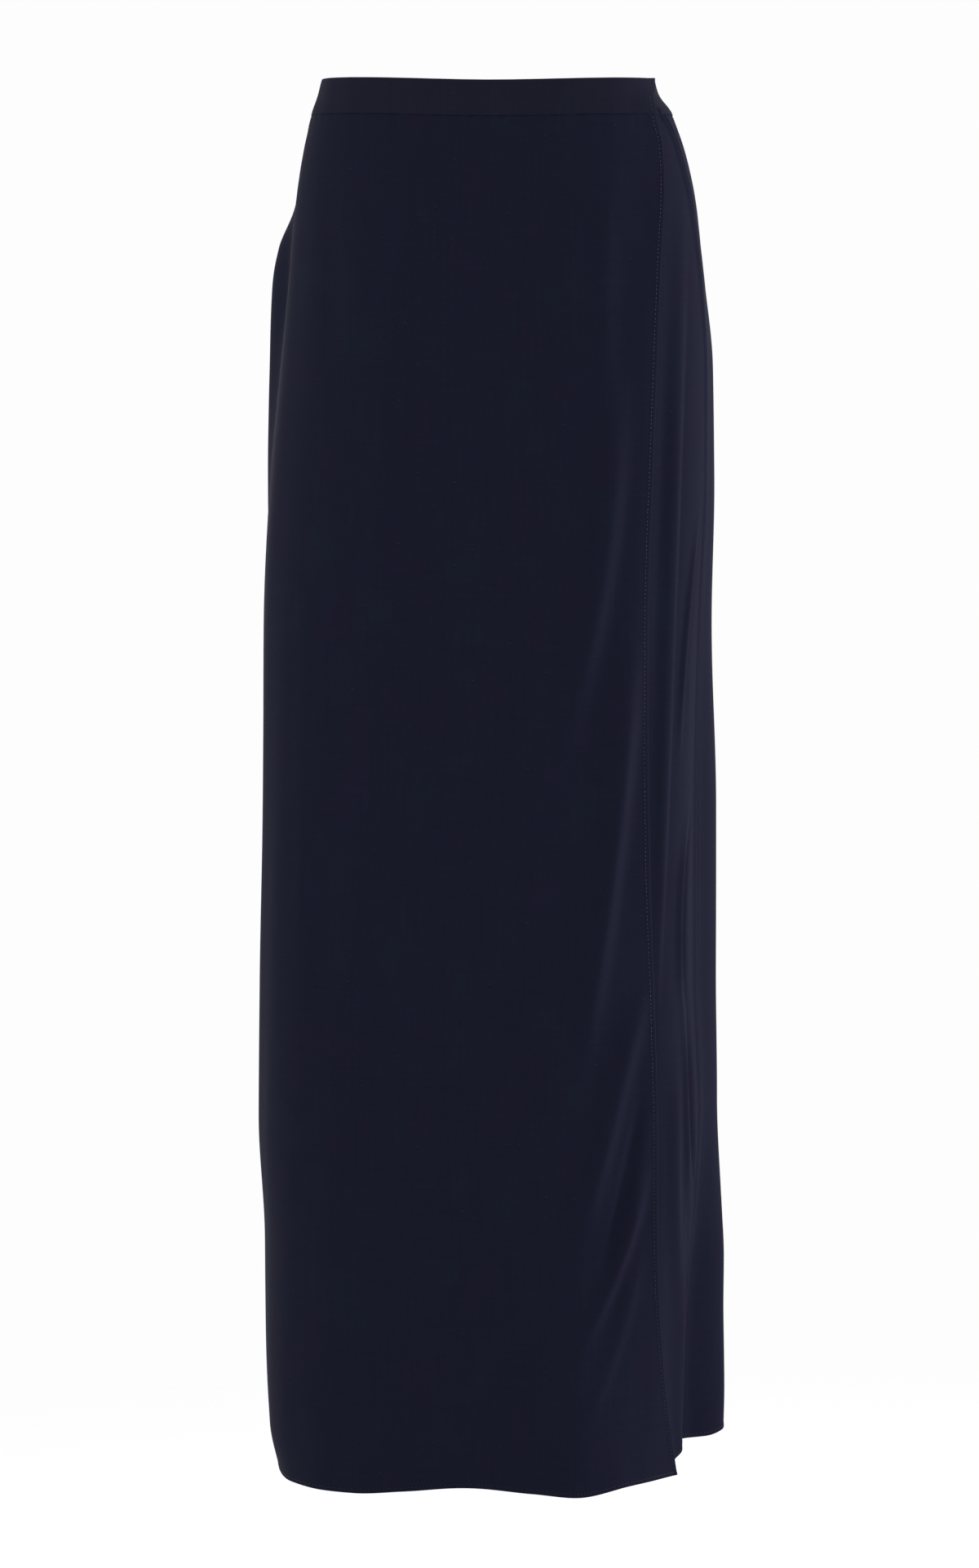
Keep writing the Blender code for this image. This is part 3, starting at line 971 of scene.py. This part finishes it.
def panel(name, levels, run, face, painted_shade, from_edge=None):
    """One panel of crepe. Its wall is thicker where an edge or the hem is turned in."""
    single = cut().crepe_thickness
    from_hem = HEM_DROP - levels.drop + 0.0 * run
    layers = doubled(from_hem, cut().hem_turn)
    rim = rounded(from_hem, 2 * single)
    # Painted shade along the hem's row of stitches
    painted_shade = np.maximum(painted_shade, HEM_SHADE * sewn_line(from_hem, cut().hem_turn))
    edge = from_hem
    if from_edge is not None:
        edge = np.minimum(from_hem, from_edge)
        # Painted shade along the free edge's row of stitches
        painted_shade = np.maximum(painted_shade, EDGE_SHADE * sewn_line(from_edge, cut().edge_turn))
        layers = np.maximum(layers, doubled(from_edge, cut().edge_turn))
        rim = np.maximum(rim, rounded(from_edge, 2 * single))
    thickness = single * (1 + layers)
    outer = face(levels, run, rim)
    inner = face(levels, run, np.maximum(thickness - rim, rim + LEAST_WALL))
    piece = cloth_wall(name, outer, inner, run, levels.drop, edge, crepe(), painted_shade)
    return piece, surface_area(outer)


def sew(name, face, stitches, length, finish_of):
    """A row of stitches. Each is (drop, run, down): its middle, and whether it lies down the cloth."""
    work = bmesh.new()
    step = 0.0004  # to the points beside the middle, which give the cloth's slope
    thread = cut().thread
    hand = np.random.default_rng(len(name))
    for drop, run, down in stitches:
        drop = drop + UNEVEN_STITCH * hand.standard_normal() * (1 if down else 0.5)
        run = run + UNEVEN_STITCH * hand.standard_normal() * (0.5 if down else 1)
        levels = Levels([drop - step, drop, drop + step])
        grid = face(levels, np.array([[run - step, run, run + step]]) + 0.0 * levels.drop)
        middle = Vector(grid[1, 1])
        across = Vector(grid[1, 2] - grid[1, 0]).normalized()
        fall = Vector(grid[2, 1] - grid[0, 1]).normalized()
        out = across.cross(fall).normalized()
        if out.dot(Vector((middle.x, middle.y, 0.0))) < 0:
            out.negate()
        along = fall if down else across
        side = out.cross(along).normalized()
        turn = Matrix((along, side, out)).transposed().to_4x4()
        size = Matrix.Diagonal((0.5 * length, 0.5 * thread, 0.5 * thread, 1.0))
        place = Matrix.Translation(middle + out * STITCH_RISE * thread)
        whole = place @ turn @ size
        bmesh.ops.create_uvsphere(work, u_segments=6, v_segments=5, radius=1.0, matrix=whole)
    mesh = bpy.data.meshes.new(name)
    work.to_mesh(mesh)
    work.free()
    mesh.shade_smooth()
    mesh.materials.append(finish_of)
    piece = show(name, mesh)


def down_edge(drops, edge, away):
    """Stitches down the cloth, this far in from its edge."""
    levels = Levels(drops)
    runs = levels.run_at(edge_angle(levels.drop, edge))[:, 0] - away
    return [(drop, run, True) for drop, run in zip(drops, runs)]


# ---------------- operators


class SKIRT_OT_overlap(Operator):
    """The big front panel, from the left side seam to its free edge"""

    bl_idname = "skirt.overlap"
    bl_label = "Front overlap"

    def execute(self, context):
        levels = panel_levels()
        first = levels.run_at(seam("left", levels.drop))
        last = levels.run_at(edge_angle(levels.drop))
        run = strip(first, last, SEAMED, TURNED, count=134)
        # Painted shade in the left seam's ditch
        painted_shade = painted_ditch_shade(run - first, LEFT_DITCH)
        piece, area = panel("overlap_cloth", levels, run, overlap_face, painted_shade, last - run)
        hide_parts("front_overlap")
        return {"FINISHED"}


class SKIRT_OT_underlap(Operator):
    """The smaller front panel under the overlap, sewn into the right side seam"""

    bl_idname = "skirt.underlap"
    bl_label = "Front underlap"

    def execute(self, context):
        levels = panel_levels()
        first = levels.run_at(BAND_END + 0.0 * levels.drop)
        last = levels.run_at(seam("right", levels.drop))
        run = strip(first, last, TURNED, SEAMED, count=132, crowd=1.8)
        # Painted shade in the right seam's ditch
        painted_shade = painted_ditch_shade(last - run, RIGHT_DITCH)
        piece, area = panel("underlap_cloth", levels, run, underlap_face, painted_shade, run - first)
        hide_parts("front_underlap")
        return {"FINISHED"}


class SKIRT_OT_back(Operator):
    """The back panel, from the right side seam round to the left"""

    bl_idname = "skirt.back"
    bl_label = "Back panel"

    def execute(self, context):
        levels = panel_levels()
        first = levels.run_at(seam("right", levels.drop))
        last = levels.run_at(seam("left", levels.drop) + 360.0)
        run = strip(first, last, SEAMED, SEAMED, count=144)
        # Painted shade in both seams' ditches
        in_right = painted_ditch_shade(run - first, RIGHT_DITCH)
        in_left = painted_ditch_shade(last - run, LEFT_DITCH)
        painted_shade = np.maximum(in_right, in_left)
        piece, area = panel("back_cloth", levels, run, back_face, painted_shade)
        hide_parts("back_panel")
        return {"FINISHED"}


class SKIRT_OT_band(Operator):
    """The folded waistband, round the whole wrap"""

    bl_idname = "skirt.band"
    bl_label = "Waistband"

    def execute(self, context):
        levels = Levels(strip(np.array([0.0]), np.array([BAND_HEIGHT]), BANDED, BANDED, count=8))
        first = levels.run_at(BAND_END - 360.0 + 0.0 * levels.drop)
        last = levels.run_at(edge_angle(levels.drop, BAND_EDGE))
        run = strip(first, last, BANDED, BANDED, count=380)
        away = np.minimum.reduce([levels.drop + 0.0 * run, last - run, run - first])
        rim = rounded(away, BAND_THICKNESS)
        rim = np.maximum(rim, rounded(BAND_HEIGHT - levels.drop + 0.0 * run, BAND_ROUNDING))
        outer = band_face(levels, run, rim)
        inner = band_face(levels, run, np.maximum(BAND_THICKNESS - rim, rim + LEAST_WALL))
        cloth = material("navy_band", crepe_material, tuple(finish().band), 0.8)
        piece = cloth_wall("band_cloth", outer, inner, run, levels.drop, away, cloth)
        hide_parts("waistband")
        return {"FINISHED"}


class SKIRT_OT_stitches(Operator):
    """The topstitch of the free edge and the band's end, and the hems' stitches"""

    bl_idname = "skirt.stitches"
    bl_label = "Stitches"

    def execute(self, context):
        pitch = cut().edge_stitch
        length = STITCH_SHARE * pitch
        bright = material("edge_thread", thread_material, tuple(finish().thread))
        # A darker copy of the thread, painted shade for the hems' and the band end's stitches
        thread_in_shade = material("hem_thread", thread_material, shade(finish().thread, HEM_THREAD_SHARE))
        drops = np.arange(BAND_HEIGHT + 0.003, HEM_DROP - 0.003, pitch)
        stitches = down_edge(drops, EDGE, cut().edge_turn - STITCHED_IN)
        sew("edge_stitches", overlap_face, stitches, length, bright)
        hem_drop = HEM_DROP - (cut().hem_turn - STITCHED_IN)
        hem = Levels([hem_drop])
        right_seam = hem.run_at(seam("right", hem.drop))[0, 0]
        left_seam = hem.run_at(seam("left", hem.drop))[0, 0]
        back_end = hem.run_at(seam("left", hem.drop) + 360.0)[0, 0]
        free_edge = hem.run_at(edge_angle(hem.drop))[0, 0]
        under_end = hem.run_at(np.array([[BAND_END]]))[0, 0]
        for name, face, first, last in (
            ("overlap_hem_stitches", overlap_face, left_seam, free_edge - cut().edge_turn),
            ("underlap_hem_stitches", underlap_face, under_end, right_seam),
            ("back_hem_stitches", back_face, right_seam, back_end),
        ):
            runs = np.arange(first + 0.002, last - 0.001, cut().hem_stitch)
            stitches = [(hem_drop, run, False) for run in runs]
            sew(name, face, stitches, HEM_STITCH_SHARE * cut().hem_stitch, thread_in_shade)
        drops = np.arange(0.0035, BAND_HEIGHT - 0.002, pitch)
        stitches = down_edge(drops, BAND_EDGE, BAND_END_STITCH)
        sew("band_end_stitches", band_face, stitches, length, thread_in_shade)
        return {"FINISHED"}


class SKIRT_OT_seams(Operator):
    """The side seams' allowances, pressed open inside the skirt"""

    bl_idname = "skirt.seams"
    bl_label = "Side seams"

    def execute(self, context):
        wide = cut().seam_allowance
        single = cut().crepe_thickness
        levels = Levels(np.linspace(BAND_HEIGHT - 0.001, HEM_DROP - cut().hem_turn - 0.0005, 160))
        for name, side, turn in (
            ("right_seam_allowance", "right", 0.0),
            ("left_seam_allowance", "left", 360.0),
        ):
            middle = levels.run_at(seam(side, levels.drop) + turn)
            run = middle + np.linspace(-wide, wide, 13)[None, :]
            risen = SEAM_RISE * np.exp(-(((run - middle) / DIP_WIDTH) ** 2))
            depth = single + SEAM_GAP - risen
            outer = back_face(levels, run, depth)
            inner = back_face(levels, run, depth + single)
            away = wide - np.abs(run - middle)
            piece = cloth_wall(name, outer, inner, run, levels.drop, away, crepe())
        return {"FINISHED"}


MIDDLE = (0.0, 0.0, -0.5)  # of the skirt, which the lights face
KEY = ((1.95, 0.5, -0.2), (0.8, 1.4), (0.86, 0.82, 1.0))  # place, size and colour
FILL = ((-2.4, -0.1, 0.2), (1.2, 2.0), (1.0, 1.0, 1.0))
ROOM_COLOUR = (0.982, 0.982, 0.982, 1.0)
FLOOR_RADIUS = 3.0


def soft_light(name, watts, place, size, colour):
    """An area light that faces the middle of the skirt."""
    data = bpy.data.lights.new(name, "AREA")
    data.shape = "RECTANGLE"
    data.size, data.size_y = size
    data.energy = watts
    data.color = colour
    lamp = bpy.data.objects.new(name, data)
    lamp.location = place
    toward = Vector(MIDDLE) - Vector(place)
    lamp.rotation_euler = toward.to_track_quat("-Z", "Y").to_euler()
    bpy.context.scene.collection.objects.link(lamp)


class SKIRT_OT_stage(Operator):
    """The pale floor, the white room, the soft lights and the camera"""

    bl_idname = "skirt.stage"
    bl_label = "Stage"

    def execute(self, context):
        work = bmesh.new()
        level = Matrix.Translation((0, 0, stage().floor))
        bmesh.ops.create_circle(work, cap_ends=True, segments=96, radius=FLOOR_RADIUS, matrix=level)
        mesh = bpy.data.meshes.new("floor")
        work.to_mesh(mesh)
        work.free()
        mesh.materials.append(floor_material())
        floor = bpy.data.objects.new("floor", mesh)
        context.scene.collection.objects.link(floor)
        world = bpy.data.worlds.new("white_room")
        world.use_nodes = True
        background = world.node_tree.nodes["Background"]
        background.inputs["Color"].default_value = ROOM_COLOUR
        background.inputs["Strength"].default_value = stage().room
        context.scene.world = world
        soft_light("key_light", stage().key, *KEY)
        soft_light("fill_light", stage().fill, *FILL)
        context.scene.view_settings.view_transform = "Standard"
        data = bpy.data.cameras.new("camera")
        data.lens = stage().lens
        data.sensor_width = 36.0
        data.clip_start, data.clip_end = 0.1, 50.0
        camera = bpy.data.objects.new("camera", data)
        camera.location = stage().eye
        camera.rotation_euler = (math.pi / 2 - stage().tilt, 0.0, 0.0)
        context.scene.collection.objects.link(camera)
        context.scene.camera = camera
        return {"FINISHED"}


PIECES = (
    SKIRT_OT_stage,
    SKIRT_OT_band,
    SKIRT_OT_overlap,
    SKIRT_OT_underlap,
    SKIRT_OT_back,
    SKIRT_OT_seams,
    SKIRT_OT_stitches,
)


class SKIRT_PT_sidebar(Panel):
    """Every step of the skirt, in the order in which it is sewn"""

    bl_idname = "SKIRT_PT_sidebar"
    bl_label = "Wrap skirt"
    bl_space_type = "VIEW_3D"
    bl_region_type = "UI"
    bl_category = "Wrap skirt"

    def draw(self, context):
        for group in (cut(), finish(), stage()):
            box = self.layout.box()
            for name in group.__annotations__:
                box.prop(group, name)
        for step in PIECES:
            self.layout.operator(step.bl_idname)


GROUPS = {"skirt_cut": SkirtCut, "skirt_finish": SkirtFinish, "skirt_stage": SkirtStage}


def register():
    for made in (*GROUPS.values(), *PIECES, SKIRT_PT_sidebar):
        bpy.utils.register_class(made)
    for name, group in GROUPS.items():
        setattr(bpy.types.Scene, name, PointerProperty(type=group))


def unregister():
    for name in GROUPS:
        delattr(bpy.types.Scene, name)
    for made in (SKIRT_PT_sidebar, *reversed(PIECES), *reversed(GROUPS.values())):
        bpy.utils.unregister_class(made)


def main():
    register()
    for step in PIECES:
        family, name = step.bl_idname.split(".")
        getattr(getattr(bpy.ops, family), name)()


if __name__ == "__main__":
    main()
